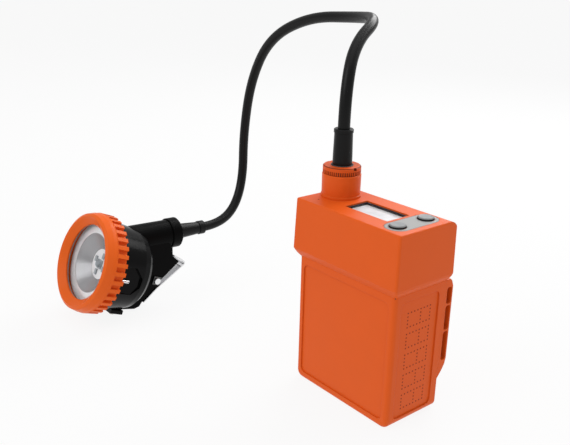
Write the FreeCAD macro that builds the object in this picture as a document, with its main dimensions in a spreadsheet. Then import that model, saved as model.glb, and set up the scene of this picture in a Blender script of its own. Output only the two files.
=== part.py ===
import FreeCAD, Part
import math
import os
import re
import Sketcher

# A miner's cap lamp: a belt-worn battery pack, a headpiece with an LED lamp, and the rubber cable
# between them. Millimetres. +Z is up, +X is the pack's width, and the pack's front faces -Y.
# The origin is the middle of the pack's bottom face, which stands on z = 0 as the headpiece's
# rear bracket does. Headpiece parts are drawn in a frame of their own, with the beam along -Y
# and the middle of the front rim at the origin, and are then seated with seat_in_head().

DIMENSIONS = {
    # battery pack
    "case_width": 79.6,
    "case_front": 19.8,
    "case_rear": 22.4,
    "case_height": 83.4,
    "case_wall": 2.6,
    "case_floor": 3.2,
    "case_side_round": 5.0,
    "case_face_round": 2.8,
    "panel_recess": 0.8,
    "panel_margin_x": 4.4,
    "panel_bottom": 5.0,
    "panel_top": 78.7,
    "side_panel_front": 14.4,
    "side_panel_rear": 17.4,
    "panel_round": 3.6,
    "lid_overhang": 2.9,
    "lid_front": 23.2,
    "lid_rear": 25.0,
    "lid_bevel": 5.0,
    "lid_taper": 0.7,
    "lid_top": 120.0,
    "lid_wall": 2.6,
    "lid_roof": 3.0,
    "lid_corner_round": 1.4,
    "lid_rear_round": 7.0,
    "lid_rear_leg": 6.3,
    "lid_edge_round": 1.1,
    "seal_width": 1.2,
    "seal_height": 1.0,
    # screws and their posts
    "post_x": 34.2,
    "post_front": 14.2,
    "post_rear": 16.8,
    "post_radius": 3.4,
    "screw_radius": 1.5,
    "screw_hole": 1.7,
    "screw_head": 2.7,
    "screw_head_tall": 2.0,
    # belt bridge on the rear
    "bridge_rear": 29.2,
    "bridge_skin": 0.9,
    "bridge_bottom": 19.5,
    "tunnel_floor": 1.8,
    "tunnel_round": 1.6,
    "tunnel_bottom": 31.0,
    "tunnel_top": 78.2,
    "bridge_screw": 1.15,
    "bar_low": 50.4,
    "bar_high": 67.2,
    "bar_thick": 1.1,
    # display and buttons
    "window_left": 12.6,
    "window_right": 20.8,
    "window_front": 9.9,
    "window_rear": 8.3,
    "frame_thick": 0.6,
    "pane_drop": 1.3,
    "frame_drop": 0.8,
    "pane_thick": 1.2,
    "plate_x": 30.2,
    "plate_y": 0.4,
    "plate_width": 15.0,
    "plate_length": 37.6,
    "plate_depth": 0.9,
    "plate_thick": 1.0,
    "button_gap_y": 11.4,
    "button_radius": 4.7,
    "button_proud": 1.5,
    "button_clear": 0.35,
    "button_stem": 1.9,
    "button_travel": 0.8,
    "board_level": 103.0,
    "board_thick": 1.6,
    # cells
    "cell_radius": 9.2,
    "cell_length": 65.0,
    "cell_pitch": 19.4,
    "tray_thick": 2.4,
    # cable gland on the lid
    "gland_x": 30.1,
    "gland_y": 3.0,
    "gland_base": 12.1,
    "gland_neck": 11.8,
    "gland_tall": 14.3,
    "gland_thread": 8.4,
    "gland_spigot": 7.4,
    "nut_outer": 11.5,
    "nut_tall": 4.8,
    "nut_bore": 6.9,
    "sleeve_radius": 5.9,
    "sleeve_top": 41.0,
    "cord_diameter": 7.4,
    # headpiece, in its own frame
    "head_x": 196.0,
    "head_y": 93.3,
    "head_level": 45.5,
    "head_tilt": 22.0,
    "rim_radius": 33.2,
    "bezel_radius": 36.4,
    "tooth_radius": 36.9,
    "tooth_root": 34.2,
    "bezel_length": 17.0,
    "tooth_start": 8.2,
    "tooth_gap": 3.4,
    "opening_radius": 27.5,
    "opening_depth": 4.2,
    "bezel_bore": 30.4,
    "lip_back": 5.4,
    "lens_radius": 30.0,
    "lens_front": 6.4,
    "lens_back": 9.4,
    "flange_back": 10.4,
    "cone_radius": 21.6,
    "cone_depth": 16.8,
    "cone_floor": 11.2,
    "spigot_radius": 30.0,
    "shell_start": 17.4,
    "shell_radius": 33.2,
    "shell_back": 46.8,
    "bracket_half": 10.0,
    "boss_radius": 10.7,
    "head_nut_radius": 11.6,
    "head_nut_front": 24.4,
    "head_nut_back": 33.6,
    "head_sleeve_radius": 4.75,
    "head_sleeve_foot": 5.9,
    "clip_half": 9.0,
    "pin_y": 61.3,
    "pin_z": 3.4,
    "pin_radius": 1.5,
    "loop_half": 2.7,
    "loop_wire": 0.5,
}

TOOTH_COUNT = 36
BRIDGE_SCREW_LEVELS = ("tunnel_bottom-5", "81.0")
KNURL_COUNT = 54
BRACKET_SCREWS = [(-7, -11), (-7, 11), (7, -11), (7, 11)]

V = FreeCAD.Vector
X_AXIS = V(1, 0, 0)
Y_AXIS = V(0, 1, 0)
Z_AXIS = V(0, 0, 1)
TINY = 0.02

doc = FreeCAD.newDocument("cap_lamp")
sheet = doc.addObject("Spreadsheet::Sheet", "dims")
for row, (alias, value) in enumerate(DIMENSIONS.items(), start=1):
    sheet.set("A%d" % row, alias)
    sheet.set("B%d" % row, str(value))
    sheet.setAlias("B%d" % row, alias)
doc.recompute()

ALIAS = re.compile(r"\b([a-z]+(?:_[a-z]+)+)\b")
scratch = doc.addObject("Spreadsheet::Sheet", "scratch")
known = {}
parts = {}


def bound(text):
    """The expression with the sheet's name before each alias."""
    return ALIAS.sub(r"dims.\1", str(text))


def number(text):
    """What an expression of the sheet's aliases comes to, worked out on a scratch sheet."""
    if text not in known:
        scratch.set("A1", "=" + bound(text))
        scratch.recompute()
        known[text] = float(scratch.get("A1"))
    return known[text]


# ---------------------------------------------------------------- sketches and features

def new_body(label):
    body = doc.addObject("PartDesign::Body", label)
    body.Label = label
    parts[label] = body
    return body


def new_sketch(body, role, lift="0"):
    """A sketch on an origin plane of the body, lifted along that plane's normal."""
    sketch = body.newObject("Sketcher::SketchObject", body.Label + "_sketch")
    plane = [f for f in body.Origin.OriginFeatures if f.Role == role][0]
    sketch.AttachmentSupport = [(plane, "")]
    sketch.MapMode = "FlatFace"
    sketch.setExpression("AttachmentOffset.Base.z", bound(lift))
    return sketch


def fix_point(sketch, element, end, corner):
    for kind, text in zip(("DistanceX", "DistanceY"), corner):
        index = sketch.addConstraint(Sketcher.Constraint(kind, element, end, number(text)))
        sketch.setExpression("Constraints[%d]" % index, bound(text))


def polygon(sketch, corners):
    """A closed outline whose corners are pairs of expressions."""
    places = [V(number(x), number(y), 0) for x, y in corners]
    first = sketch.GeometryCount
    count = len(corners)
    for i in range(count):
        sketch.addGeometry(Part.LineSegment(places[i], places[(i + 1) % count]), False)
    for i in range(count):
        after = first + (i + 1) % count
        sketch.addConstraint(Sketcher.Constraint("Coincident", first + i, 2, after, 1))
    for i, corner in enumerate(corners):
        fix_point(sketch, first + i, 1, corner)


def rectangle(sketch, left, right, bottom, top):
    polygon(sketch, [(left, bottom), (right, bottom), (right, top), (left, top)])


def rounded_outline(sketch, half_width, front, rear, radius):
    """A rectangle from -front to +rear with arcs of one radius at its corners."""
    spots = []
    for x_sign, y_out, y_in in (("", "-" + front, "-(" + front + "-" + radius + ")"),
                                ("", rear, "(" + rear + "-" + radius + ")"),
                                ("-", rear, "(" + rear + "-" + radius + ")"),
                                ("-", "-" + front, "-(" + front + "-" + radius + ")")):
        x_out = x_sign + "(" + half_width + ")"
        x_in = x_sign + "(" + half_width + "-" + radius + ")"
        pair = [(x_in, y_out), (x_out, y_in)]
        turns_back = (x_sign == "") == (y_out == rear)
        spots.append((pair[::-1] if turns_back else pair, (x_in, y_in)))
    for i, ((start, end), middle_spot) in enumerate(spots):
        centre = V(number(middle_spot[0]), number(middle_spot[1]), 0)
        first = V(number(start[0]), number(start[1]), 0)
        last = V(number(end[0]), number(end[1]), 0)
        bulge = centre + (first + last - centre * 2).normalize() * number(radius)
        arc = sketch.addGeometry(Part.Arc(first, bulge, last), False)
        beyond = spots[(i + 1) % 4][0][0]
        line = sketch.addGeometry(
            Part.LineSegment(last, V(number(beyond[0]), number(beyond[1]), 0)), False)
        fix_point(sketch, line, 1, end)
        fix_point(sketch, line, 2, beyond)
        sketch.addConstraint(Sketcher.Constraint("Coincident", arc, 2, line, 1))
        limit = sketch.addConstraint(Sketcher.Constraint("Radius", arc, number(radius)))
        sketch.setExpression("Constraints[%d]" % limit, bound(radius))
    for i in range(4):
        sketch.addConstraint(Sketcher.Constraint("Coincident", 2 * i, 1, (2 * i - 1) % 8, 2))


def corner_waste(sketch, across, up, leg, radius):
    """What a round takes off an upper edge at (across, up), starting one leg away from it."""
    inner = across + "-" + leg
    below = up + "-" + leg
    first = V(number(across), number(below), 0)
    last = V(number(inner), number(up), 0)
    reach = number(radius)
    half_chord = (last - first).Length / 2
    sag = reach - math.sqrt(reach ** 2 - half_chord ** 2)
    bulge = (first + last) * 0.5 + V(1, 1, 0).normalize() * sag
    sketch.addGeometry(Part.Arc(first, bulge, last), False)
    limit = sketch.addConstraint(Sketcher.Constraint("Radius", 0, reach))
    sketch.setExpression("Constraints[%d]" % limit, bound(radius))
    spots = [(across, below), (across + "+3", below), (across + "+3", up + "+3"),
             (inner, up + "+3"), (inner, up)]
    for start, end in zip(spots, spots[1:]):
        line = sketch.addGeometry(Part.LineSegment(
            V(number(start[0]), number(start[1]), 0), V(number(end[0]), number(end[1]), 0)), False)
        fix_point(sketch, line, 1, start)
        fix_point(sketch, line, 2, end)
    sketch.addConstraint(Sketcher.Constraint("Coincident", 0, 1, 1, 1))
    sketch.addConstraint(Sketcher.Constraint("Coincident", 0, 2, 4, 2))


def circle(sketch, x, y, radius):
    place = V(number(x), number(y), 0)
    index = sketch.addGeometry(Part.Circle(place, Z_AXIS, number(radius)), False)
    fix_point(sketch, index, 3, (x, y))
    limit = sketch.addConstraint(Sketcher.Constraint("Radius", index, number(radius)))
    sketch.setExpression("Constraints[%d]" % limit, bound(radius))


def extrude(body, kind, sketch, length, backwards=False, both=False):
    before = body.Shape.Volume if body.Tip else 0.0
    feature = body.newObject(kind, body.Label + "_step")
    feature.Profile = sketch
    feature.setExpression("Length", bound(length))
    feature.SideType = "Symmetric" if both else "One side"
    feature.Reversed = backwards
    doc.recompute()
    changed = abs(body.Shape.Volume - before)
    if changed < 1e-3:
        raise RuntimeError("%s: a step changed nothing" % body.Label)
    return feature


def pad(body, sketch, length, **how):
    return extrude(body, "PartDesign::Pad", sketch, length, **how)


def pocket(body, sketch, length, **how):
    return extrude(body, "PartDesign::Pocket", sketch, length, **how)


def loft(body, lower, upper):
    feature = body.newObject("PartDesign::AdditiveLoft", body.Label + "_loft")
    feature.Profile = lower
    feature.Sections = [upper]
    feature.Ruled = True
    doc.recompute()


def revolve(body, sketch, axis, kind="PartDesign::Revolution"):
    feature = body.newObject(kind, body.Label + "_turned")
    feature.Profile = sketch
    feature.ReferenceAxis = (sketch, [axis])
    feature.Angle = 360
    doc.recompute()
    return feature


def turned_upright(label, corners):
    """A body turned about Z from (radius, height) corners."""
    body = new_body(label)
    sketch = new_sketch(body, "XZ_Plane")
    polygon(sketch, corners)
    revolve(body, sketch, "V_Axis")
    return body


def turned_along_beam(label, corners):
    """A body turned about Y from (depth behind the rim, radius) corners."""
    body = new_body(label)
    sketch = new_sketch(body, "YZ_Plane")
    polygon(sketch, corners)
    revolve(body, sketch, "H_Axis")
    return body


def edge_names(shape, rule):
    return ["Edge%d" % (i + 1) for i, edge in enumerate(shape.Edges) if rule(edge)]


def soften(body, rule, size, kind="PartDesign::Fillet"):
    """Rounds, or with the other kind bevels, the edges that the rule picks."""
    before = body.Tip
    names = edge_names(before.Shape, rule)
    if not names:
        raise RuntimeError("%s: no edge to round" % body.Label)
    feature = body.newObject(kind, body.Label + "_edges")
    feature.Base = (before, names)
    if kind == "PartDesign::Fillet":
        feature.setExpression("Radius", bound(size))
    else:
        feature.ChamferType = "Two distances"
        feature.setExpression("Size", bound(size[0]))
        feature.setExpression("Size2", bound(size[1]))
    doc.recompute()
    return feature


def along(edge, axis):
    """Whether an edge is straight and runs along an axis, give or take a small draft."""
    if len(edge.Vertexes) < 2:
        return False
    way = edge.Vertexes[1].Point - edge.Vertexes[0].Point
    return way.Length > 0.999 * edge.Length and abs(way.dot(axis)) > 0.99 * way.Length


def middle(edge):
    return edge.valueAt((edge.FirstParameter + edge.LastParameter) / 2)


def near(a, b, room=0.05):
    return abs(a - b) < room


def boolean(kind, label, base, tool):
    """A document-level cut, fuse or common of two objects."""
    result = doc.addObject(kind, label)
    result.Base = base
    result.Tool = tool
    result.Label = label
    for used in (base, tool):
        parts.pop(used.Label, None)
    parts[label] = result
    doc.recompute()
    return result


def solid_feature(label, shape, placement=None):
    feature = doc.addObject("Part::Feature", label)
    feature.Label = label
    feature.Shape = shape
    if placement:
        feature.Placement = placement
    parts[label] = feature
    return feature


def seat_in_head(*objects):
    """Turns headpiece parts nose up and puts the rim where the headpiece stands."""
    tilt = FreeCAD.Rotation(X_AXIS, -sheet.head_tilt)
    place = V(-sheet.head_x, -sheet.head_y, sheet.head_level)
    for item in objects:
        item.Placement = FreeCAD.Placement(place, tilt)


def at_posts(sketch, radius):
    """A circle in the sketch on each of the four screw posts' axes."""
    for x in ("post_x", "-post_x"):
        for y in ("post_rear", "-post_front"):
            circle(sketch, x, y, radius)


def post_places():
    return [(x, y) for x in (-sheet.post_x, sheet.post_x)
            for y in (-sheet.post_front, sheet.post_rear)]


# ---------------------------------------------------------------- battery pack: case and lid

def make_case():
    body = new_body("pack_case")
    sketch = new_sketch(body, "XY_Plane")
    rectangle(sketch, "-case_width/2", "case_width/2", "-case_front", "case_rear")
    pad(body, sketch, "case_height")
    soften(body, lambda e: along(e, Y_AXIS) and near(middle(e).z, 0), "case_side_round")
    top = sheet.case_height

    def face_edge(edge):
        return near(middle(edge).y, -sheet.case_front) and middle(edge).z < top - TINY

    soften(body, face_edge, "case_face_round")

    cavity = new_sketch(body, "XY_Plane", "case_height")
    rectangle(cavity, "-case_width/2+case_wall", "case_width/2-case_wall",
              "-case_front+case_wall", "case_rear-case_wall")
    pocket(body, cavity, "case_height-case_floor")

    posts = new_sketch(body, "XY_Plane", "case_floor")
    at_posts(posts, "post_radius")
    pad(body, posts, "case_height-case_floor")
    holes = new_sketch(body, "XY_Plane", "case_height")
    at_posts(holes, "screw_hole")
    pocket(body, holes, "case_height+1")
    sinks = new_sketch(body, "XY_Plane")
    at_posts(sinks, "screw_head+0.3")
    pocket(body, sinks, "screw_head_tall+0.4", backwards=True)

    groove = new_sketch(body, "XY_Plane", "case_height")
    inset = "(case_wall-seal_width)/2"
    rectangle(groove, "-case_width/2+" + inset, "case_width/2-" + inset,
              "-case_front+" + inset, "case_rear-" + inset)
    rectangle(groove, "-case_width/2+seal_width+" + inset, "case_width/2-seal_width-" + inset,
              "-case_front+seal_width+" + inset, "case_rear-seal_width-" + inset)
    pocket(body, groove, "seal_height")

    front = new_sketch(body, "XZ_Plane", "case_front")
    rectangle(front, "-case_width/2+panel_margin_x", "case_width/2-panel_margin_x",
              "panel_bottom", "panel_top")
    pocket(body, front, "panel_recess")
    for side, backwards in (("case_width/2", False), ("-case_width/2", True)):
        panel = new_sketch(body, "YZ_Plane", side)
        rectangle(panel, "-side_panel_front", "side_panel_rear", "panel_bottom", "panel_top")
        pocket(body, panel, "panel_recess", backwards=backwards)

    def panel_corner(edge):
        spot = middle(edge)
        depth = sheet.case_front - sheet.panel_recess / 2
        width = sheet.case_width / 2 - sheet.panel_recess / 2
        on_front = along(edge, Y_AXIS) and near(spot.y, -depth)
        on_side = along(edge, X_AXIS) and near(abs(spot.x), width)
        return (on_front or on_side) and edge.Length < 2 * sheet.panel_recess

    soften(body, panel_corner, "panel_round")

    bores = new_sketch(body, "XZ_Plane", "-case_rear-1")
    for x in ("case_width/2-9", "-case_width/2+9"):
        for level in BRIDGE_SCREW_LEVELS:
            circle(bores, x, level, "bridge_screw+0.02")
    pocket(body, bores, "case_wall+2.4", backwards=True)
    return body


def make_lid():
    body = new_body("pack_lid")
    half = "(case_width/2+lid_overhang-%s)"
    stages = []
    for level, side, front, rear in (
            ("case_height", "2.8", "(lid_front-3.2)", "(lid_rear-2.5)"),
            ("case_height+lid_bevel*0.3", "1.3", "(lid_front-2.1)", "(lid_rear-1.6)"),
            ("case_height+lid_bevel*0.7", "0.3", "(lid_front-0.8)", "(lid_rear-0.6)"),
            ("case_height+lid_bevel", "0", "lid_front", "lid_rear"),
            ("lid_top", "lid_taper", "(lid_front-lid_taper*1.6)", "lid_rear")):
        sketch = new_sketch(body, "XY_Plane", level)
        rounded_outline(sketch, half % side, front, rear, "lid_corner_round")
        stages.append(sketch)
    for lower, upper in zip(stages, stages[1:]):
        loft(body, lower, upper)
    top = sheet.lid_top
    soften(body, lambda e: near(e.BoundBox.ZMin, top), "lid_edge_round")
    waste = new_sketch(body, "YZ_Plane")
    corner_waste(waste, "lid_rear", "lid_top", "lid_rear_leg", "lid_rear_round")
    pocket(body, waste, "case_width+10", both=True)

    cavity = new_sketch(body, "XY_Plane", "case_height")
    rectangle(cavity, "-case_width/2+lid_wall", "case_width/2-lid_wall",
              "-case_front+lid_wall", "case_rear-lid_wall")
    pocket(body, cavity, "lid_top-lid_roof-case_height", backwards=True)

    posts = new_sketch(body, "XY_Plane", "case_height")
    at_posts(posts, "post_radius")
    pad(body, posts, "board_level-case_height")
    bores = new_sketch(body, "XY_Plane", "case_height")
    at_posts(bores, "screw_radius+0.05")
    pocket(body, bores, "board_level-case_height+1", backwards=True)

    window = new_sketch(body, "XY_Plane", "lid_top")
    rectangle(window, "-window_left", "window_right", "-window_front", "window_rear")
    pocket(body, window, "lid_roof+1")

    plate = new_sketch(body, "XY_Plane", "lid_top")
    rectangle(plate, "plate_x-plate_width/2", "plate_x+plate_width/2",
              "-plate_y-plate_length/2", "-plate_y+plate_length/2")
    pocket(body, plate, "plate_depth")
    level = sheet.lid_top - sheet.plate_depth / 2
    left = sheet.plate_x - sheet.plate_width / 2 - TINY
    soften(body, lambda e: along(e, Z_AXIS) and near(middle(e).z, level) and middle(e).x > left
           and e.Length < 1, "plate_width/2-0.05")

    holes = new_sketch(body, "XY_Plane", "lid_top")
    circle(holes, "-gland_x", "gland_y", "gland_spigot+0.05")
    for y in ("-plate_y-button_gap_y", "-plate_y+button_gap_y"):
        circle(holes, "plate_x", y, "button_stem+button_clear")
    pocket(body, holes, "lid_roof+2")
    return body


def make_case_seal():
    body = new_body("lid_gasket")
    sketch = new_sketch(body, "XY_Plane", "case_height-seal_height")
    inset = "(case_wall-seal_width)/2"
    rectangle(sketch, "-case_width/2+" + inset, "case_width/2-" + inset,
              "-case_front+" + inset, "case_rear-" + inset)
    rectangle(sketch, "-case_width/2+seal_width+" + inset, "case_width/2-seal_width-" + inset,
              "-case_front+seal_width+" + inset, "case_rear-seal_width-" + inset)
    pad(body, sketch, "seal_height")


def screw(radius, length, head_radius, head_tall):
    """A pan-head screw whose head stands on z = 0 and whose shank points up, with a cross slot."""
    shank = Part.makeCylinder(radius, length + head_tall, V(0, 0, 0))
    head = Part.makeCylinder(head_radius, head_tall, V(0, 0, 0))
    head = head.makeFillet(head_tall * 0.35, [head.Edges[2]])
    whole = shank.fuse(head).removeSplitter()
    slot = head_radius * 1.3
    for turn in (0, 90):
        blade = Part.makeBox(slot, 0.5, 0.9, V(-slot / 2, -0.25, -0.1))
        blade.rotate(V(0, 0, 0), Z_AXIS, turn)
        whole = whole.cut(blade)
    return whole


def group(shapes):
    return Part.makeCompound(shapes)


def make_case_screws():
    length = 92.0 - sheet.screw_head_tall
    shapes = []
    for x, y in post_places():
        one = screw(sheet.screw_radius, length, sheet.screw_head, sheet.screw_head_tall)
        one.translate(V(x, y, 0.2))
        shapes.append(one)
    solid_feature("case_screws", group(shapes))


def make_bridge():
    """The rear bulge, flush with the case's sides, with three strap slots through it."""
    body = new_body("belt_bridge")
    sketch = new_sketch(body, "YZ_Plane")
    polygon(sketch, [
        ("case_rear", "bridge_bottom"), ("bridge_rear-2.8", "bridge_bottom+5"),
        ("bridge_rear-0.9", "bridge_bottom+8.2"), ("bridge_rear", "bridge_bottom+12"),
        ("bridge_rear", "case_height-5"), ("bridge_rear-1.4", "case_height-1.4"),
        ("bridge_rear-2.8", "case_height-0.1"), ("case_rear", "case_height-0.1")])
    pad(body, sketch, "case_width", both=True)
    slots = new_sketch(body, "YZ_Plane")
    inner = "bridge_rear-bridge_skin"
    floor = "case_rear+tunnel_floor"
    for low, high in (("tunnel_bottom", "bar_low-bar_thick/2"),
                      ("bar_low+bar_thick/2", "bar_high-bar_thick/2"),
                      ("bar_high+bar_thick/2", "tunnel_top")):
        rectangle(slots, floor, inner, low, high)
    pocket(body, slots, "case_width+2", both=True)
    rear = sheet.bridge_rear - 0.5
    front = sheet.case_rear + 0.5
    low = sheet.tunnel_bottom - 0.5
    high = sheet.tunnel_top + 0.5
    soften(body, lambda e: along(e, X_AXIS) and front < middle(e).y < rear
           and low < middle(e).z < high, "tunnel_round")
    holes = new_sketch(body, "XZ_Plane", "-bridge_rear")
    sinks = new_sketch(body, "XZ_Plane", "-bridge_rear")
    for x in ("case_width/2-9", "-case_width/2+9"):
        for level in BRIDGE_SCREW_LEVELS:
            circle(holes, x, level, "bridge_screw+0.15")
            circle(sinks, x, level, "bridge_screw+1.2")
    pocket(body, holes, "bridge_rear", backwards=False, both=True)
    pocket(body, sinks, "6.4", both=True)


def make_bridge_screws():
    shapes = []
    for x in (-1, 1):
        for level in BRIDGE_SCREW_LEVELS:
            one = screw(sheet.bridge_screw, 5.6, sheet.bridge_screw + 0.95, 1.4)
            one.rotate(V(0, 0, 0), X_AXIS, 90)
            place = V(x * (sheet.case_width / 2 - 9), sheet.bridge_rear - 1.8, number(level))
            one.translate(place)
            shapes.append(one)
    solid_feature("bridge_screws", group(shapes))


# ---------------------------------------------------------------- display, buttons, electronics

def make_display():
    roof = "lid_top-lid_roof"
    frame = new_body("window_frame")
    sketch = new_sketch(frame, "XY_Plane", roof)
    for gap in ("0.1", "frame_thick"):
        rectangle(sketch, "-window_left+" + gap, "window_right-" + gap,
                  "-window_front+" + gap, "window_rear-" + gap)
    pad(frame, sketch, "lid_roof-frame_drop")
    pane = new_body("display_window")
    sketch = new_sketch(pane, "XY_Plane", "lid_top-pane_drop-pane_thick")
    inset = "(frame_thick+0.1)"
    rectangle(sketch, "-window_left+" + inset, "window_right-" + inset,
              "-window_front+" + inset, "window_rear-" + inset)
    pad(pane, sketch, "pane_thick")
    module = new_body("display_module")
    sketch = new_sketch(module, "XY_Plane", "lid_top-pane_drop-pane_thick-6.6")
    rectangle(sketch, "-window_left+" + inset, "window_right-" + inset,
              "-window_front+" + inset, "window_rear-" + inset)
    pad(module, sketch, "6.5")


def make_buttons():
    plate = new_body("button_plate")
    sketch = new_sketch(plate, "XY_Plane", "lid_top-plate_depth")
    rectangle(sketch, "plate_x-plate_width/2+0.15", "plate_x+plate_width/2-0.15",
              "-plate_y-plate_length/2+0.15", "-plate_y+plate_length/2-0.15")
    pad(plate, sketch, "plate_thick")
    soften(plate, lambda e: along(e, Z_AXIS), "plate_width/2-0.25")
    top = sheet.lid_top - sheet.plate_depth + sheet.plate_thick
    soften(plate, lambda e: near(e.BoundBox.ZMin, top), "0.35")
    holes = new_sketch(plate, "XY_Plane", "lid_top+2")
    for y in ("-plate_y-button_gap_y", "-plate_y+button_gap_y"):
        circle(holes, "plate_x", y, "button_radius+button_clear")
    pocket(plate, holes, "5")

    for label, y in (("button_front", "-plate_y-button_gap_y"),
                     ("button_rear", "-plate_y+button_gap_y")):
        seat = "lid_top-plate_depth+button_travel+0.1"
        body = turned_upright(label, [
            ("0", seat), ("button_radius", seat),
            ("button_radius", "lid_top+button_proud-0.5"),
            ("button_radius-0.6", "lid_top+button_proud"), ("0", "lid_top+button_proud-0.25")])
        stem = new_sketch(body, "XY_Plane", "board_level+board_thick+4.6+button_travel")
        circle(stem, "0", "0", "button_stem")
        pad(body, stem, "lid_top-plate_depth-board_level-board_thick-4")
        body.Placement = FreeCAD.Placement(V(sheet.plate_x, number(y), 0), FreeCAD.Rotation())


def make_board():
    body = new_body("control_board")
    sketch = new_sketch(body, "XY_Plane", "board_level")
    rectangle(sketch, "-case_width/2+lid_wall+0.6", "case_width/2-lid_wall-0.6",
              "-case_front+lid_wall+0.6", "case_rear-lid_wall-0.6")
    pad(body, sketch, "board_thick")
    holes = new_sketch(body, "XY_Plane", "board_level+board_thick")
    at_posts(holes, "screw_hole")
    pocket(body, holes, "board_thick+1")
    fixings = []
    for x, y in post_places():
        if (x, y) != (sheet.post_x, -sheet.post_front):
            one = screw(sheet.screw_radius, 6.0, sheet.screw_head, 1.6)
            one.rotate(V(0, 0, 0), X_AXIS, 180)
            one.translate(V(x, y, sheet.board_level + sheet.board_thick + 1.6))
            fixings.append(one)
    solid_feature("board_screws", group(fixings))
    shapes = []
    deck = sheet.board_level + sheet.board_thick
    for sign in (-1, 1):
        y = -sheet.plate_y + sign * sheet.button_gap_y
        case = Part.makeBox(6.2, 6.2, 3.5, V(sheet.plate_x - 3.1, y - 3.1, deck))
        plunger = Part.makeCylinder(1.7, 4.5 - 3.5, V(sheet.plate_x, y, deck + 3.5))
        shapes.append(case.fuse(plunger))
    solid_feature("tact_switches", group(shapes))


def make_cells():
    base = sheet.case_floor + sheet.tray_thick
    shapes = []
    tabs = []
    for i in (-1, 0, 1):
        can = Part.makeCylinder(sheet.cell_radius, sheet.cell_length, V(i * sheet.cell_pitch, 0, base))
        rims = [e for e in can.Edges if isinstance(e.Curve, Part.Circle)]
        shapes.append(can.makeFillet(0.8, rims))
    for low, left, right in ((False, -1, 0), (True, 0, 1)):
        level = base - 0.3 if low else base + sheet.cell_length
        wide = (right - left) * sheet.cell_pitch + 8
        middle_x = (left + right) / 2 * sheet.cell_pitch
        tabs.append(Part.makeBox(wide, 6, 0.3, V(middle_x - wide / 2, -3, level)))
    solid_feature("battery_cells", group(shapes))
    solid_feature("cell_tabs", group(tabs))

    for label, level, down in (("cell_tray_lower", "case_floor", False),
                               ("cell_tray_upper", "case_floor+tray_thick+cell_length-4", True)):
        body = new_body(label)
        sketch = new_sketch(body, "XY_Plane", level)
        rectangle(sketch, "-cell_pitch-cell_radius-0.8", "cell_pitch+cell_radius+0.8",
                  "-cell_radius-4.4", "cell_radius+4.4")
        pad(body, sketch, "tray_thick+4")
        seats = new_sketch(body, "XY_Plane", level + ("" if down else "+tray_thick"))
        for x in ("-cell_pitch", "0", "cell_pitch"):
            circle(seats, x, "0", "cell_radius+0.1")
        pocket(body, seats, "4.01", backwards=True)
        slots = new_sketch(body, "XY_Plane", level + ("+4" if down else "+tray_thick"))
        if down:
            rectangle(slots, "-cell_pitch-4.2", "4.2", "-3.2", "3.2")
            pocket(body, slots, "0.4", backwards=True)
        else:
            rectangle(slots, "-4.2", "cell_pitch+4.2", "-3.2", "3.2")
            pocket(body, slots, "0.4")


# ---------------------------------------------------------------- cable gland on the lid

def make_gland():
    roof = "lid_top-lid_roof"
    shoulder = "lid_top+gland_tall"
    body = turned_upright("gland_body", [
        ("sleeve_radius+0.1", roof), ("gland_spigot", roof), ("gland_spigot", "lid_top"),
        ("gland_base", "lid_top"), ("gland_base", "lid_top+1.4"),
        ("gland_base-0.35", "lid_top+1.6"), ("gland_neck", shoulder + "-0.5"),
        ("gland_neck-0.5", shoulder), ("gland_thread", shoulder),
        ("gland_thread", shoulder + "+3.2"), ("sleeve_radius+0.1", shoulder + "+3.2")])
    lock = turned_upright("cable_retainer", [
        ("sleeve_radius+0.02", roof + "-4.2"), ("gland_spigot-0.6", roof + "-4.2"),
        ("gland_spigot-0.6", roof + "-0.1"), ("sleeve_radius+0.02", roof + "-0.1")])

    nut = turned_upright("gland_nut", [
        ("gland_thread+0.05", shoulder), ("nut_outer-0.5", shoulder), ("nut_outer", shoulder + "+0.5"),
        ("nut_outer", shoulder + "+nut_tall-0.6"), ("nut_outer-0.6", shoulder + "+nut_tall"),
        ("nut_bore", shoulder + "+nut_tall"), ("nut_bore", shoulder + "+3.3"),
        ("gland_thread+0.05", shoulder + "+3.3")])
    notches = new_sketch(nut, "XY_Plane", shoulder + "+nut_tall")
    for side in ("", "-"):
        circle(notches, side + "(nut_outer+0.3)", "0", "1.3")
    pocket(nut, notches, "1.6")

    ribs = new_sketch(nut, "XY_Plane", shoulder)
    rectangle(ribs, "nut_outer-0.55", "nut_outer+0.5", "-0.32", "0.32")
    cut = pocket(nut, ribs, "nut_tall*0.52", backwards=True)
    pattern = nut.newObject("PartDesign::PolarPattern", "nut_knurl")
    pattern.Originals = [cut]
    pattern.Axis = (ribs, ["N_Axis"])
    pattern.Angle = 360
    pattern.Occurrences = KNURL_COUNT
    nut.Tip = pattern
    doc.recompute()

    seal = turned_upright("gland_seal", [
        ("sleeve_radius+0.02", shoulder + "+3.3"), ("nut_bore-0.02", shoulder + "+3.3"),
        ("nut_bore-0.02", shoulder + "+nut_tall+0.1"), ("nut_bore-0.4", shoulder + "+nut_tall+0.5"),
        ("sleeve_radius+0.02", shoulder + "+nut_tall+0.4")])
    sleeve = turned_upright("pack_cable_sleeve", [
        ("0", roof + "-7"), ("sleeve_radius", roof + "-7"), ("sleeve_radius", "lid_top+24"),
        ("sleeve_radius-0.35", "lid_top+sleeve_top-2.4"), ("sleeve_radius", "lid_top+sleeve_top-2.2"),
        ("sleeve_radius", "lid_top+sleeve_top-0.4"), ("sleeve_radius-0.4", "lid_top+sleeve_top"),
        ("0", "lid_top+sleeve_top")])
    place = FreeCAD.Placement(V(-sheet.gland_x, sheet.gland_y, 0), FreeCAD.Rotation())
    for item in (body, lock, nut, seal, sleeve):
        item.Placement = place


# ---------------------------------------------------------------- headpiece: lamp front

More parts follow.
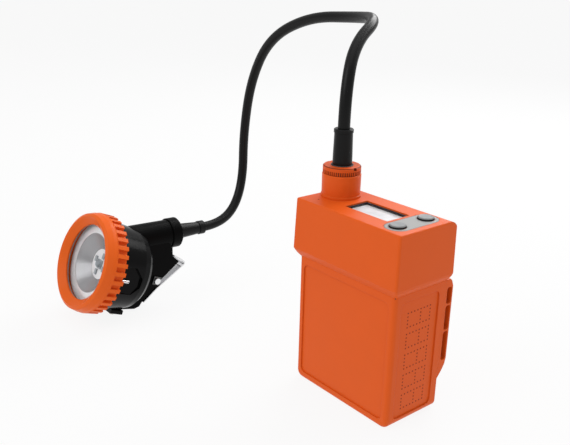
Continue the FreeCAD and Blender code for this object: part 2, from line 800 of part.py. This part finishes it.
def make_bezel():
    body = turned_along_beam("bezel_ring", [
        ("0.3", "rim_radius-0.9"), ("0", "rim_radius-0.4"), ("0.2", "rim_radius+0.3"),
        ("1.2", "rim_radius+1.9"), ("3.2", "bezel_radius-0.7"), ("5.4", "bezel_radius"),
        ("tooth_start-0.4", "bezel_radius+0.2"), ("tooth_start", "tooth_radius"),
        ("bezel_length", "tooth_radius-0.3"), ("bezel_length", "bezel_bore"),
        ("lip_back", "bezel_bore"), ("lip_back", "opening_radius"),
        ("opening_depth", "opening_radius")])
    gap = new_sketch(body, "XZ_Plane", "-bezel_length-1")
    rectangle(gap, "-tooth_gap/2", "tooth_gap/2", "tooth_root", "tooth_radius+1")
    cut = pocket(body, gap, "bezel_length+1-tooth_start-0.2", backwards=True)
    pattern = body.newObject("PartDesign::PolarPattern", "bezel_teeth")
    pattern.Originals = [cut]
    pattern.Axis = (gap, ["N_Axis"])
    pattern.Angle = 360
    pattern.Occurrences = TOOTH_COUNT
    body.Tip = pattern
    doc.recompute()
    return body


def make_optics():
    gasket = turned_along_beam("lens_gasket", [
        ("lip_back+0.05", "opening_radius+0.3"), ("lens_front", "opening_radius+0.3"),
        ("lens_front", "lens_radius+0.2"), ("lip_back+0.05", "lens_radius+0.2")])
    lens = turned_along_beam("front_lens", [
        ("lens_front", "0"), ("lens_back", "0"), ("lens_back", "lens_radius"),
        ("lens_front", "lens_radius")])
    reflector = turned_along_beam("reflector", [
        ("lens_back+0.1", "cone_radius"), ("lens_back+0.1", "lens_radius-0.6"),
        ("flange_back", "lens_radius-0.6"), ("flange_back", "cone_radius+1"),
        ("cone_depth", "cone_floor+1"), ("cone_depth", "cone_floor")])
    board = turned_along_beam("led_board", [
        ("cone_depth+0.1", "0"), ("cone_depth+1.7", "0"), ("cone_depth+1.7", "16"),
        ("cone_depth+0.1", "16")])
    sink = turned_along_beam("heat_sink", [
        ("cone_depth+1.8", "0"), ("shell_back-2.9", "0"), ("shell_back-2.9", "16.5"),
        ("shell_back-5.4", "16.5"), ("shell_back-5.4", "7.5"), ("cone_depth+9", "7.5"),
        ("cone_depth+9", "21"), ("cone_depth+1.8", "21")])
    bores = new_sketch(sink, "XZ_Plane", "-shell_back")
    for x, z in BRACKET_SCREWS:
        circle(bores, x, z, "1.5")
    pocket(sink, bores, "6", backwards=True)
    front = sheet.cone_depth + 0.1
    chips = []
    chips.append(Part.makeBox(6.4, 0.9, 6.4, V(-3.2, front - 0.9, -3.2)))
    for angle in (70, 160, 250, 340):
        x = 6.9 * math.cos(math.radians(angle))
        z = 6.9 * math.sin(math.radians(angle))
        chips.append(Part.makeBox(2.6, 0.9, 4.2, V(x - 1.3, front - 0.9, z - 2.1)))
    dome = Part.makeSphere(2.8, V(0, front - 0.9, 0))
    dome = dome.common(Part.makeBox(6, 3, 6, V(-3, front - 3.9, -3)))
    chips[0] = chips[0].fuse(dome)
    chip_group = solid_feature("led_chips", group(chips))
    return [gasket, lens, reflector, board, sink, chip_group]


# ---------------------------------------------------------------- headpiece: housing and bracket

SHELL_OUTLINE = [
    ("shell_start", "spigot_radius"), ("shell_start", "shell_radius-0.3"),
    ("shell_start+0.3", "shell_radius"), ("27", "shell_radius-1.2"), ("36", "shell_radius-2.3"),
    ("40.6", "shell_radius-3.5"), ("43.6", "shell_radius-5.8"), ("45.7", "shell_radius-9"),
    ("shell_back", "shell_radius-14"), ("shell_back", "0")]


def make_shell():
    body = turned_along_beam("head_shell", [
        ("flange_back+0.1", "spigot_radius-2.6"), ("flange_back+0.1", "spigot_radius")]
        + SHELL_OUTLINE + [
        ("shell_back-2.8", "0"), ("shell_back-2.8", "18"), ("shell_back-4.4", "22.5"),
        ("shell_back-7.4", "25.4"), ("34", "spigot_radius-2.6")])
    recess = new_sketch(body, "YZ_Plane", "shell_radius+1")
    polygon(recess, [("shell_start-1", "6.4"), ("23", "8.4"), ("28", "8.4"), ("35", "1"),
                     ("35", "-6"), ("30", "-12"), ("shell_start-1", "-12")])
    pocket(body, recess, "5.4")
    bores = new_sketch(body, "XZ_Plane", "-shell_back-1")
    for x, z in BRACKET_SCREWS:
        circle(bores, x, z, "1.5")
    pocket(body, bores, "5", backwards=True)
    return body


def make_bracket():
    plate = new_body("bracket_plate")
    sketch = new_sketch(plate, "YZ_Plane")
    polygon(sketch, [("30", "28"), ("60", "28"), ("66.4", "25"), ("69.2", "17.8"),
                     ("76.5", "14.2"), ("64.4", "-3.8"), ("55", "-21"), ("53.6", "-25.4"),
                     ("50", "-27.8"), ("39", "-29.4"), ("30", "-29.4")])
    pad(plate, sketch, "2*bracket_half", both=True)
    seat_in_head(plate)
    start = cable_axis_point(sheet.head_nut_front + 3)
    way = cable_axis_point(sheet.head_nut_front + 4) - start
    boss_start = cable_axis_point(sheet.head_nut_back)
    neck = Part.makeCylinder(8.0, sheet.head_nut_back - sheet.head_nut_front - 2, start, way)
    boss = Part.makeCylinder(sheet.boss_radius, 40, boss_start, way)
    fin = solid_feature("boss_blank", boss.fuse(neck))
    whole = boolean("Part::Fuse", "bracket_blank", plate, fin)
    envelope = turned_along_beam("shell_envelope", [("0", "0"), ("0", "spigot_radius+0.05")]
                                 + [(y, r + "+0.05") for y, r in SHELL_OUTLINE[:-1]]
                                 + [("shell_back+0.05", "shell_radius-14"), ("shell_back+0.05", "0")])
    seat_in_head(envelope)
    trimmed = boolean("Part::Cut", "bracket_trimmed", whole, envelope)
    bores = [Part.makeCylinder(1.42, 9, V(x, sheet.shell_back - 2, z), Y_AXIS)
             for x, z in BRACKET_SCREWS]
    bores.append(Part.makeCylinder(sheet.pin_radius + 0.02, 30, V(-15, sheet.pin_y, -sheet.pin_z),
                                   X_AXIS))
    drill = solid_feature("bracket_bores", group(bores))
    seat_in_head(drill)
    boolean("Part::Cut", "rear_bracket", trimmed, drill)


def cable_axis_point(distance):
    """A point on the headpiece's cable axis, so far from the cable sleeve's outer end."""
    end = V(*CORD_ROUTE[-1])
    way = end - V(*CORD_ROUTE[-2])
    return end + way.normalize() * distance


def make_head_cable_entry():
    """The union nut and the rubber sleeve, turned about Z and laid along the cable axis."""
    nut = turned_upright("head_gland_nut", [
        ("head_sleeve_foot+0.1", "-head_nut_front-2"), ("head_sleeve_foot+0.1", "-head_nut_front"),
        ("head_nut_radius-1.6", "-head_nut_front"), ("head_nut_radius", "-head_nut_front-1.4"),
        ("head_nut_radius", "-head_nut_back+0.6"), ("head_nut_radius-0.4", "-head_nut_back+0.1"),
        ("8.05", "-head_nut_back+0.1"), ("8.05", "-head_nut_front-2")])
    sleeve = turned_upright("head_cable_sleeve", [
        ("0", "-head_nut_front-2.9"), ("head_sleeve_foot", "-head_nut_front-2.9"),
        ("head_sleeve_foot", "-head_nut_front+2"), ("head_sleeve_radius", "-5.4"),
        ("head_sleeve_radius+0.6", "-5.1"), ("head_sleeve_radius+0.6", "-0.5"),
        ("head_sleeve_radius+0.1", "0"), ("0", "0")])
    way = cable_axis_point(0) - cable_axis_point(1)
    turn = FreeCAD.Rotation(Z_AXIS, way)
    for item in (nut, sleeve):
        item.Placement = FreeCAD.Placement(cable_axis_point(0), turn)


def make_clip():
    """The spring-steel hook that slips into a helmet's lamp holder, with its pin and wire loop."""
    clip = new_body("hook_clip")
    sketch = new_sketch(clip, "YZ_Plane")
    polygon(sketch, [("71.6", "18.0"), ("78.4", "15.9"), ("80.6", "16"), ("82.6", "15"),
                     ("83.4", "13.3"), ("83", "12"), ("65.2", "-10.4"), ("57.6", "-22.6"),
                     ("56.9", "-22.1"), ("64.5", "-9.9"), ("82.1", "12.5"), ("82.4", "13.4"),
                     ("81.8", "14.4"), ("80.4", "15"), ("78.2", "14.9"), ("71.6", "17.2")])
    pad(clip, sketch, "2*clip_half", both=True)
    leaf = new_body("hook_backing_leaf")
    sketch = new_sketch(leaf, "YZ_Plane")
    polygon(sketch, [("64.9", "-3.7"), ("77.2", "14.6"), ("77.9", "14.1"), ("65.6", "-4.2")])
    pad(leaf, sketch, "2*clip_half-1", both=True)
    pin = new_body("hook_pin")
    sketch = new_sketch(pin, "YZ_Plane")
    circle(sketch, "pin_y", "-pin_z", "pin_radius")
    pad(pin, sketch, "2*bracket_half+4", both=True)
    for lift, backwards in (("bracket_half+1.6", False), ("-bracket_half-0.05", True)):
        head = new_sketch(pin, "YZ_Plane", lift)
        circle(head, "pin_y", "-pin_z", "pin_radius+0.9")
        pad(pin, head, "1.2", backwards=backwards)
    loop = new_body("keeper_loop")
    sketch = new_sketch(loop, "YZ_Plane", "bracket_half+0.3")
    outer = "(loop_half+loop_wire)"
    inner = "(loop_half-loop_wire)"
    for reach in (outer, inner):
        rectangle(sketch, "pin_y-" + reach, "pin_y+" + reach, "-pin_z-" + reach, "-pin_z+" + reach)
    pad(loop, sketch, "2*loop_wire")
    soften(loop, lambda e: along(e, X_AXIS), "0.35")
    seat_in_head(clip, leaf, pin, loop)


def shell_solid():
    """The space inside the shell's outside surface, grown by a hair."""
    points = [V(0, number(y), number(r) + 0.05) for y, r in SHELL_OUTLINE]
    points = [V(0, points[0].y, 0)] + points
    face = Part.Face(Part.makePolygon(points + [points[0]]))
    return face.revolve(V(0, 0, 0), Y_AXIS, 360)


def make_head_trim():
    lock = Part.makeCylinder(1.3, 6.5, V(30.2, 18.0, -2.6), Y_AXIS)
    lock = lock.cut(Part.makeBox(3, 1, 0.5, V(28.7, 23.8, -2.85)))
    lock_screw = solid_feature("bezel_lock_screw", lock)
    tab = Part.makeBox(9, 10, 3.45, V(3.5, 29.5, -33))
    tab = tab.makeFillet(0.8, [e for e in tab.Edges if along(e, Y_AXIS)])
    tab = tab.cut(shell_solid())
    tab_part = solid_feature("contact_tab", tab)
    stud = Part.makeCylinder(1.6, 1.2, V(8, 33.1, -34.25), Z_AXIS)
    contact = solid_feature("charge_contact", stud)
    screws = []
    for x, z in BRACKET_SCREWS:
        one = screw(1.4, 9.0, 2.4, 1.6)
        one.rotate(V(0, 0, 0), X_AXIS, -90)
        one.translate(V(x, sheet.shell_back - 5.4 - 1.6, z))
        screws.append(one)
    bracket_screws = solid_feature("bracket_screws", group(screws))
    seat_in_head(lock_screw, tab_part, contact, bracket_screws)


# ---------------------------------------------------------------- cable

CORD_ROUTE = [
    (-30.1, 3, 161), (-30.1, 3, 184), (-41, 19, 208), (-52, 49, 221), (-86, 64, 219),
    (-133, 63, 216), (-174, 60, 198), (-200, 62, 163), (-211, 63, 118), (-209, 61, 79),
    (-202, 47, 57), (-196, 26, 49.4), (-196, 12, 50)]


def cord_path(points):
    """Straight runs joined by tangent arcs, each as large as its two runs allow."""
    edges = []
    radii = []
    here = points[0]
    for before, corner, after in zip(points, points[1:], points[2:]):
        back = before - corner
        ahead = after - corner
        run = min(back.Length, ahead.Length)
        back.normalize()
        ahead.normalize()
        turn = math.pi - back.getAngle(ahead)
        reach = 0.45 * run
        radius = reach / math.tan(turn / 2)
        bisector = back + ahead
        bisector.normalize()
        centre = corner + bisector * (radius / math.cos(turn / 2))
        start = corner + back * reach
        end = corner + ahead * reach
        edges.append(Part.LineSegment(here, start).toShape())
        edges.append(Part.Arc(start, centre - bisector * radius, end).toShape())
        radii.append(radius)
        here = end
    edges.append(Part.LineSegment(here, points[-1]).toShape())
    return Part.Wire(edges), radii


def make_cord():
    points = [V(*p) for p in CORD_ROUTE]
    path, radii = cord_path(points)
    radius = sheet.cord_diameter / 2
    section = Part.Wire([Part.makeCircle(radius, points[0], points[1] - points[0])])
    tube = path.makePipeShell([section], True, True)
    expected = math.pi * radius ** 2 * path.Length
    print("cord length %.1f, radii" % path.Length, " ".join("%.1f" % r for r in radii))
    print("cord volume %.1f, section times length %.1f" % (tube.Volume, expected))
    if abs(tube.Volume / expected - 1) > 0.01:
        raise RuntimeError("the cord's tube has the wrong volume")
    solid_feature("cord", tube)


# ---------------------------------------------------------------- the whole lamp

def main():
    make_case()
    make_lid()
    make_case_seal()
    make_case_screws()
    make_bridge()
    make_bridge_screws()
    make_display()
    make_buttons()
    make_board()
    make_cells()
    make_gland()
    bezel = make_bezel()
    optics = make_optics()
    shell = make_shell()
    make_bracket()
    make_head_cable_entry()
    make_clip()
    make_head_trim()
    seat_in_head(bezel, shell, *optics)
    make_cord()
    doc.recompute()


main()
doc.removeObject("scratch")
for item in doc.Objects:
    if "Invalid" in item.State or "Error" in item.State:
        raise RuntimeError("%s is %s" % (item.Label, item.State))
os.makedirs("parts", exist_ok=True)
for old in os.listdir("parts"):
    os.remove(os.path.join("parts", old))
for label, item in sorted(parts.items()):
    shape = item.Shape
    if shape.isNull() or not shape.isValid() or shape.Volume <= 0:
        raise RuntimeError("%s has no valid shape" % label)
    shape.exportStep("parts/%s.step" % label)
print(len(parts), "parts written")
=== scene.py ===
import math

import bpy
from mathutils import Matrix, Vector


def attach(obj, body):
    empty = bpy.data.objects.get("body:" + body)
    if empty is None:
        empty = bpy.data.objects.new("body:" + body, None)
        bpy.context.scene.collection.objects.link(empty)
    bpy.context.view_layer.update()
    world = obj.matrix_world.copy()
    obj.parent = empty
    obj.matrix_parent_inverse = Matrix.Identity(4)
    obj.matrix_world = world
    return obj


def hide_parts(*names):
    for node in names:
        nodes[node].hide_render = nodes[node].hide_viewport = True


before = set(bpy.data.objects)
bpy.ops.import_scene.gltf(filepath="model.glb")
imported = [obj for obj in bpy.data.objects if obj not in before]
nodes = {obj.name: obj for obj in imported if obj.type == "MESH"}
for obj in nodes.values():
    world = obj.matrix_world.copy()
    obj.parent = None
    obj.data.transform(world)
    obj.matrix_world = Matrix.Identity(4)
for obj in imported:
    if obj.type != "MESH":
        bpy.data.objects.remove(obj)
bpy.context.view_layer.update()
scene = bpy.context.scene

MM = 0.001
TILT = math.radians(22)
BEAM = (0, -math.cos(TILT), math.sin(TILT))
HEAD_PLACE = (-0.196, -0.0933, 0.0455)
GLAND_PLACE = (-0.0301, 0.003, 0.13)


# ---------------------------------------------------------------- camera

def place_camera():
    """Above and to the right of the pack, looking across it at the headpiece."""
    yaw, pitch, roll = (math.radians(a) for a in (-50.29, 19.11, 1.42))
    forward = Vector((math.sin(yaw) * math.cos(pitch), math.cos(yaw) * math.cos(pitch),
                      -math.sin(pitch)))
    level = Vector((math.cos(yaw), -math.sin(yaw), 0))
    upright = level.cross(forward)
    right = level * math.cos(roll) + upright * math.sin(roll)
    up = upright * math.cos(roll) - level * math.sin(roll)
    data = bpy.data.cameras.new("main_camera")
    data.sensor_fit = "HORIZONTAL"
    data.sensor_width = 36.0
    data.lens = 48.0
    data.clip_start = 0.01
    camera = bpy.data.objects.new("main_camera", data)
    turn = Matrix((right, up, -forward)).transposed().to_4x4()
    camera.matrix_world = Matrix.Translation((0.2879, -0.3044, 0.2543)) @ turn
    scene.collection.objects.link(camera)
    scene.camera = camera


place_camera()


# ---------------------------------------------------------------- materials

def set_inputs(shader, **values):
    for name, value in values.items():
        socket = shader.inputs[name.replace("_", " ")]
        if isinstance(value, tuple):
            value = value + (1.0,) if len(value) == 3 else value
        socket.default_value = value


def new_material(name, color, rough, **more):
    material = bpy.data.materials.new(name)
    material.use_nodes = True
    shader = material.node_tree.nodes["Principled BSDF"]
    set_inputs(shader, Base_Color=color, Roughness=rough, **more)
    return material


def link(tree, source, output, target, entry):
    tree.links.new(source.outputs[output], target.inputs[entry])


def grain(material, scale, height, rough_low, rough_high, tint=0.06, edge=0.0004, detail=4.0):
    """Fine moulded grain: bump, uneven gloss and a faint change of shade."""
    tree = material.node_tree
    shader = tree.nodes["Principled BSDF"]
    place = tree.nodes.new("ShaderNodeTexCoord")
    noise = tree.nodes.new("ShaderNodeTexNoise")
    noise.inputs["Scale"].default_value = scale
    noise.inputs["Detail"].default_value = detail
    link(tree, place, "Object", noise, "Vector")
    bump = tree.nodes.new("ShaderNodeBump")
    bump.inputs["Strength"].default_value = 0.35
    bump.inputs["Distance"].default_value = height
    link(tree, noise, "Fac", bump, "Height")
    if edge:
        soft = tree.nodes.new("ShaderNodeBevel")
        soft.samples = 4
        soft.inputs["Radius"].default_value = edge
        link(tree, soft, "Normal", bump, "Normal")
    link(tree, bump, "Normal", shader, "Normal")
    broad = tree.nodes.new("ShaderNodeTexNoise")
    broad.inputs["Scale"].default_value = scale / 25
    broad.inputs["Detail"].default_value = 3
    link(tree, place, "Object", broad, "Vector")
    spread = tree.nodes.new("ShaderNodeMapRange")
    spread.inputs["To Min"].default_value = rough_low
    spread.inputs["To Max"].default_value = rough_high
    link(tree, broad, "Fac", spread, "Value")
    link(tree, spread, "Result", shader, "Roughness")
    if tint:
        base = tuple(shader.inputs["Base Color"].default_value)[:3]
        mix = tree.nodes.new("ShaderNodeMix")
        mix.data_type = "RGBA"
        mix.inputs[6].default_value = tuple(c * (1 - tint) for c in base) + (1.0,)
        mix.inputs[7].default_value = tuple(min(1, c * (1 + tint)) for c in base) + (1.0,)
        link(tree, broad, "Fac", mix, 0)
        tree.links.new(mix.outputs[2], shader.inputs["Base Color"])
    return material


def turned_metal(material, axis, scale, height):
    """Fine rings or lengthwise lines left by making a metal part."""
    tree = material.node_tree
    shader = tree.nodes["Principled BSDF"]
    place = tree.nodes.new("ShaderNodeTexCoord")
    stretch = tree.nodes.new("ShaderNodeMapping")
    stretch.inputs["Scale"].default_value = axis
    noise = tree.nodes.new("ShaderNodeTexNoise")
    noise.inputs["Scale"].default_value = scale
    noise.inputs["Detail"].default_value = 5
    bump = tree.nodes.new("ShaderNodeBump")
    bump.inputs["Strength"].default_value = 0.25
    bump.inputs["Distance"].default_value = height
    soft = tree.nodes.new("ShaderNodeBevel")
    soft.inputs["Radius"].default_value = 0.0002
    link(tree, place, "Object", stretch, "Vector")
    link(tree, stretch, "Vector", noise, "Vector")
    link(tree, noise, "Fac", bump, "Height")
    link(tree, soft, "Normal", bump, "Normal")
    link(tree, bump, "Normal", shader, "Normal")
    return material


def paint_light_by_shape(material, second, factor):
    """Mixes the base colour with a second one by a factor made from the shape, to paint light and shade
    onto it.
    """
    tree = material.node_tree
    shader = tree.nodes["Principled BSDF"]
    mix = tree.nodes.new("ShaderNodeMix")
    mix.data_type = "RGBA"
    mix.inputs[6].default_value = tuple(shader.inputs["Base Color"].default_value)
    mix.inputs[7].default_value = second + (1.0,)
    tree.links.new(factor, mix.inputs[0])
    tree.links.new(mix.outputs[2], shader.inputs["Base Color"])
    return material


def facing_up(material):
    """One on faces that look up, none on the sides."""
    tree = material.node_tree
    geometry = tree.nodes.new("ShaderNodeNewGeometry")
    part = tree.nodes.new("ShaderNodeSeparateXYZ")
    step = tree.nodes.new("ShaderNodeMapRange")
    step.inputs["From Min"].default_value = 0.7
    step.inputs["From Max"].default_value = 0.8
    link(tree, geometry, "Normal", part, "Vector")
    link(tree, part, "Z", step, "Value")
    return step.outputs["Result"]


def away_from_axis(material, place, axis, radius):
    """One beyond a radius round an axis, none within it."""
    tree = material.node_tree
    geometry = tree.nodes.new("ShaderNodeNewGeometry")
    shift = tree.nodes.new("ShaderNodeVectorMath")
    shift.operation = "SUBTRACT"
    shift.inputs[1].default_value = place
    cross = tree.nodes.new("ShaderNodeVectorMath")
    cross.operation = "CROSS_PRODUCT"
    cross.inputs[1].default_value = axis
    length = tree.nodes.new("ShaderNodeVectorMath")
    length.operation = "LENGTH"
    step = tree.nodes.new("ShaderNodeMapRange")
    step.inputs["From Min"].default_value = radius
    step.inputs["From Max"].default_value = radius + 0.0003
    tree.links.new(geometry.outputs["Position"], shift.inputs[0])
    tree.links.new(shift.outputs["Vector"], cross.inputs[0])
    tree.links.new(cross.outputs["Vector"], length.inputs[0])
    tree.links.new(length.outputs["Value"], step.inputs["Value"])
    return step.outputs["Result"]


def larger(material, first, second):
    """The larger of two factors."""
    tree = material.node_tree
    node = tree.nodes.new("ShaderNodeMath")
    node.operation = "MAXIMUM"
    tree.links.new(first, node.inputs[0])
    tree.links.new(second, node.inputs[1])
    return node.outputs["Value"]


orange = grain(new_material("orange_moulding", (0.70, 0.098, 0.010), 0.42,
                            Specular_IOR_Level=0.12), 1600, 0.00006, 0.34, 0.46, 0.03)
orange_gloss = grain(new_material("orange_ring", (0.74, 0.12, 0.016), 0.36,
                                  Specular_IOR_Level=0.07), 1500, 0.00004, 0.28, 0.38, 0.03)
black = grain(new_material("black_moulding", (0.002, 0.002, 0.0022), 0.3,
                           Specular_IOR_Level=0.09), 1500, 0.00004, 0.14, 0.22, 0.1)
deep_black = grain(new_material("bracket_black", (0.0012, 0.0012, 0.0013), 0.35,
                                Specular_IOR_Level=0.05), 1200, 0.00004, 0.3, 0.42, 0.1)
rubber = grain(new_material("cable_rubber", (0.003, 0.003, 0.0031), 0.34,
                            Specular_IOR_Level=0.17), 900, 0.00004, 0.3, 0.4, 0.1, edge=0)
# The gland nut's dark red base is painted shade in the flute grooves; up-facing faces and the outer ridges
# get the orange.
gland_nut_groove_shade = new_material("gland_nut_orange", (0.10, 0.010, 0.002), 0.42, Specular_IOR_Level=0.12)
paint_light_by_shape(gland_nut_groove_shade, (0.64, 0.085, 0.009), larger(
    gland_nut_groove_shade, facing_up(gland_nut_groove_shade), away_from_axis(gland_nut_groove_shade, GLAND_PLACE, (0, 0, 1), 0.0111)))
grain(gland_nut_groove_shade, 900, 0.00004, 0.38, 0.5, 0, edge=0)
inside = grain(new_material("inner_moulding", (0.03, 0.03, 0.033), 0.6), 900, 0.00005,
               0.55, 0.7, 0.1)
grey_plate = grain(new_material("plate_grey", (0.27, 0.27, 0.265), 0.5), 1200, 0.00004,
                   0.45, 0.58, 0.04)
# The keys' side walls are painted near black as shade; only the up-facing tops get the grey.
key_grey_side_shade = new_material("key_grey_side_shade", (0.012, 0.012, 0.012), 0.5, Specular_IOR_Level=0.3)
paint_light_by_shape(key_grey_side_shade, (0.25, 0.26, 0.265), facing_up(key_grey_side_shade))
grain(key_grey_side_shade, 1200, 0.00005, 0.45, 0.6, 0)
circuit = grain(new_material("circuit_board", (0.02, 0.12, 0.06), 0.35), 700, 0.00003,
                0.3, 0.45, 0.15)
steel = turned_metal(new_material("spring_steel", (0.68, 0.68, 0.69), 0.22, Metallic=1.0),
                     (1, 8, 8), 300, 0.00003)
bright_steel = turned_metal(new_material("bright_steel", (0.8, 0.8, 0.81), 0.14, Metallic=1.0),
                            (1, 8, 8), 300, 0.00002)
dark_steel = turned_metal(new_material("wire_steel", (0.1, 0.1, 0.1), 0.3, Metallic=1.0),
                          (1, 1, 1), 300, 0.00002)
alloy = turned_metal(new_material("cast_alloy", (0.55, 0.56, 0.58), 0.45, Metallic=1.0),
                     (1, 1, 1), 500, 0.00006)
nickel = turned_metal(new_material("nickel_strip", (0.66, 0.62, 0.56), 0.25, Metallic=1.0),
                      (6, 1, 1), 300, 0.00002)
sleeve_blue = grain(new_material("cell_sleeve", (0.03, 0.10, 0.30), 0.25), 500, 0.00003,
                    0.2, 0.32, 0.06)
white_board = grain(new_material("led_board_white", (0.85, 0.85, 0.85), 0.4), 600, 0.00002,
                    0.35, 0.5, 0.02)
led_grey = new_material("led_phosphor", (0.34, 0.38, 0.40), 0.3)
# The reflector's outer flange is painted near white as a painted reflection of the bright surroundings;
# the cone keeps the grey.
reflector_painted_flange = new_material("reflector_bright", (0.36, 0.36, 0.365), 0.25, Metallic=0.3)
paint_light_by_shape(reflector_painted_flange, (0.9, 0.9, 0.9), away_from_axis(reflector_painted_flange, HEAD_PLACE, BEAM, 0.0219))
rim_grey = grain(new_material("lens_gasket_grey", (0.22, 0.22, 0.225), 0.5), 800, 0.00004,
                 0.45, 0.6, 0.1, edge=0)
print_red = new_material("printed_marks", (0.16, 0.010, 0.003), 0.5, Specular_IOR_Level=0.1)
# A flat dark colour painted as the shade inside the vent hole.
hole_painted_shade = new_material("pin_hole_dark", (0.01, 0.004, 0.003), 0.8)
clear = new_material("clear_lens", (0.99, 0.99, 1.0), 0.03, Transmission_Weight=1.0, IOR=1.06)
screen = grain(new_material("display_face", (0.82, 0.83, 0.85), 0.25), 3000, 0.00001,
               0.2, 0.3, 0.3, edge=0)
gasket = grain(new_material("gasket_rubber", (0.02, 0.02, 0.021), 0.6), 800, 0.00004,
               0.55, 0.7, 0.1)

FINISH = {
    "pack_case": orange, "pack_lid": orange, "belt_bridge": orange, "gland_body": orange,
    "bezel_ring": orange_gloss, "gland_nut": gland_nut_groove_shade, "gland_seal": gasket,
    "lid_gasket": gasket, "lens_gasket": rim_grey, "pack_cable_sleeve": rubber,
    "head_cable_sleeve": rubber, "head_gland_nut": deep_black, "cord": rubber,
    "cable_retainer": inside, "case_screws": steel, "bridge_screws": steel,
    "board_screws": steel, "bracket_screws": steel, "display_window": clear,
    # The window frame is a dark liner that paints the shade on the walls of the display window's opening.
    "display_module": screen, "window_frame": inside, "button_plate": grey_plate, "button_front": key_grey_side_shade,
    "button_rear": key_grey_side_shade, "control_board": circuit, "tact_switches": inside,
    "battery_cells": sleeve_blue, "cell_tabs": nickel, "cell_tray_lower": inside,
    "cell_tray_upper": inside, "front_lens": clear, "reflector": reflector_painted_flange,
    "led_board": white_board, "led_chips": led_grey, "heat_sink": alloy,
    "head_shell": black, "rear_bracket": deep_black, "hook_clip": bright_steel,
    "hook_backing_leaf": bright_steel, "hook_pin": bright_steel, "keeper_loop": dark_steel,
    "bezel_lock_screw": steel, "contact_tab": black, "charge_contact": nickel,
}
for name, node in nodes.items():
    node.data.materials.clear()
    node.data.materials.append(FINISH[name])


# ---------------------------------------------------------------- cable

CORD_ROUTE = [
    (-30.1, 3, 161), (-30.1, 3, 184), (-41, 19, 208), (-52, 49, 221), (-86, 64, 219),
    (-133, 63, 216), (-174, 60, 198), (-200, 62, 163), (-211, 63, 118), (-209, 61, 79),
    (-202, 47, 57), (-196, 26, 49.4), (-196, 12, 50)]


def make_cable():
    curve = bpy.data.curves.new("cable", "CURVE")
    curve.dimensions = "3D"
    line = curve.splines.new("NURBS")
    line.points.add(len(CORD_ROUTE) - 1)
    for point, place in zip(line.points, CORD_ROUTE):
        point.co = (place[0] * MM, place[1] * MM, place[2] * MM, 1)
    line.order_u = 3
    line.use_endpoint_u = True
    line.resolution_u = 16
    curve.bevel_depth = 3.7 * MM
    curve.bevel_resolution = 8
    curve.materials.append(rubber)
    cable = bpy.data.objects.new("cable", curve)
    scene.collection.objects.link(cable)
    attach(cable, "lamp")
    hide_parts("cord")
    return cable


make_cable()


# ---------------------------------------------------------------- marks on the pack

def disc_points(centre, across, along, radius, count=12):
    """The corners of a small flat disc spanned by two directions."""
    corners = []
    for i in range(count):
        turn = 2 * math.pi * i / count
        corners.append(centre + across * radius * math.cos(turn) + along * radius * math.sin(turn))
    return corners


def make_discs(name, centres, across, along, radius, material):
    verts, faces = [], []
    for centre in centres:
        corners = disc_points(Vector(centre) * MM, across, along, radius * MM)
        faces.append(tuple(range(len(verts), len(verts) + len(corners))))
        verts.extend(corners)
    mesh = bpy.data.meshes.new(name)
    mesh.from_pydata([tuple(v) for v in verts], [], faces)
    mesh.materials.append(material)
    thing = bpy.data.objects.new(name, mesh)
    scene.collection.objects.link(thing)
    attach(thing, "lamp")
    return thing


def make_marks():
    """Five dotted frames down the side panel, and a flat dark disc painted as the shade inside the small
    vent hole at the lid's front corner.
    """
    dots = []
    for first in (10, 23, 36, 49, 62):
        for row in range(5):
            for column in range(8):
                if row in (0, 4) or column in (0, 4, 7):
                    dots.append((39.05, -7.5 + column * 2.66, first + row * 2.2))
    make_discs("side_dots", dots, Vector((0, 1, 0)), Vector((0, 0, 1)), 0.46, print_red)
    make_discs("vent_hole_shade_disc", [(-31.2, -13.9, 120.03)], Vector((1, 0, 0)), Vector((0, 1, 0)), 0.5,
               hole_painted_shade)


make_marks()


# ---------------------------------------------------------------- floor and light

def area_light(name, place, aim, size, power, color=(1, 1, 1)):
    data = bpy.data.lights.new(name, "AREA")
    data.shape = "RECTANGLE"
    data.size, data.size_y = size
    data.energy = power
    data.color = color
    lamp = bpy.data.objects.new(name, data)
    lamp.location = place
    way = Vector(aim) - Vector(place)
    lamp.rotation_euler = way.to_track_quat("-Z", "Y").to_euler()
    scene.collection.objects.link(lamp)
    return lamp


def make_studio():
    mesh = bpy.data.meshes.new("floor")
    reach = 60
    corners = [(-reach, -reach, 0), (reach, -reach, 0), (reach, reach, 0), (-reach, reach, 0)]
    mesh.from_pydata(corners, [], [(0, 1, 2, 3)])
    floor = bpy.data.objects.new("floor", mesh)
    floor.location = (0, 0, -0.0002)
    scene.collection.objects.link(floor)
    pale = new_material("floor_pale", (0.07, 0.07, 0.07), 0.7, Specular_IOR_Level=0.0,
                        Emission_Color=(1.0, 1.0, 1.0), Emission_Strength=0.895)
    mesh.materials.append(pale)
    world = bpy.data.worlds.new("studio")
    scene.world = world
    world.use_nodes = True
    world.node_tree.nodes["Background"].inputs["Color"].default_value = (1, 1, 1, 1)
    world.node_tree.nodes["Background"].inputs["Strength"].default_value = 0.62
    area_light("key", (-0.3, -1.1, 1.0), (-0.08, 0, 0.08), (0.9, 0.9), 6)
    area_light("back", (-0.3, 0.9, 0.8), (-0.02, 0, 0.1), (0.9, 0.5), 9)
    area_light("top", (-0.05, 0.1, 1.4), (-0.05, 0, 0.1), (1.2, 1.2), 4)
    scene.view_settings.view_transform = "Standard"
    scene.view_settings.look = "None"
    scene.view_settings.exposure = 0.0


make_studio()
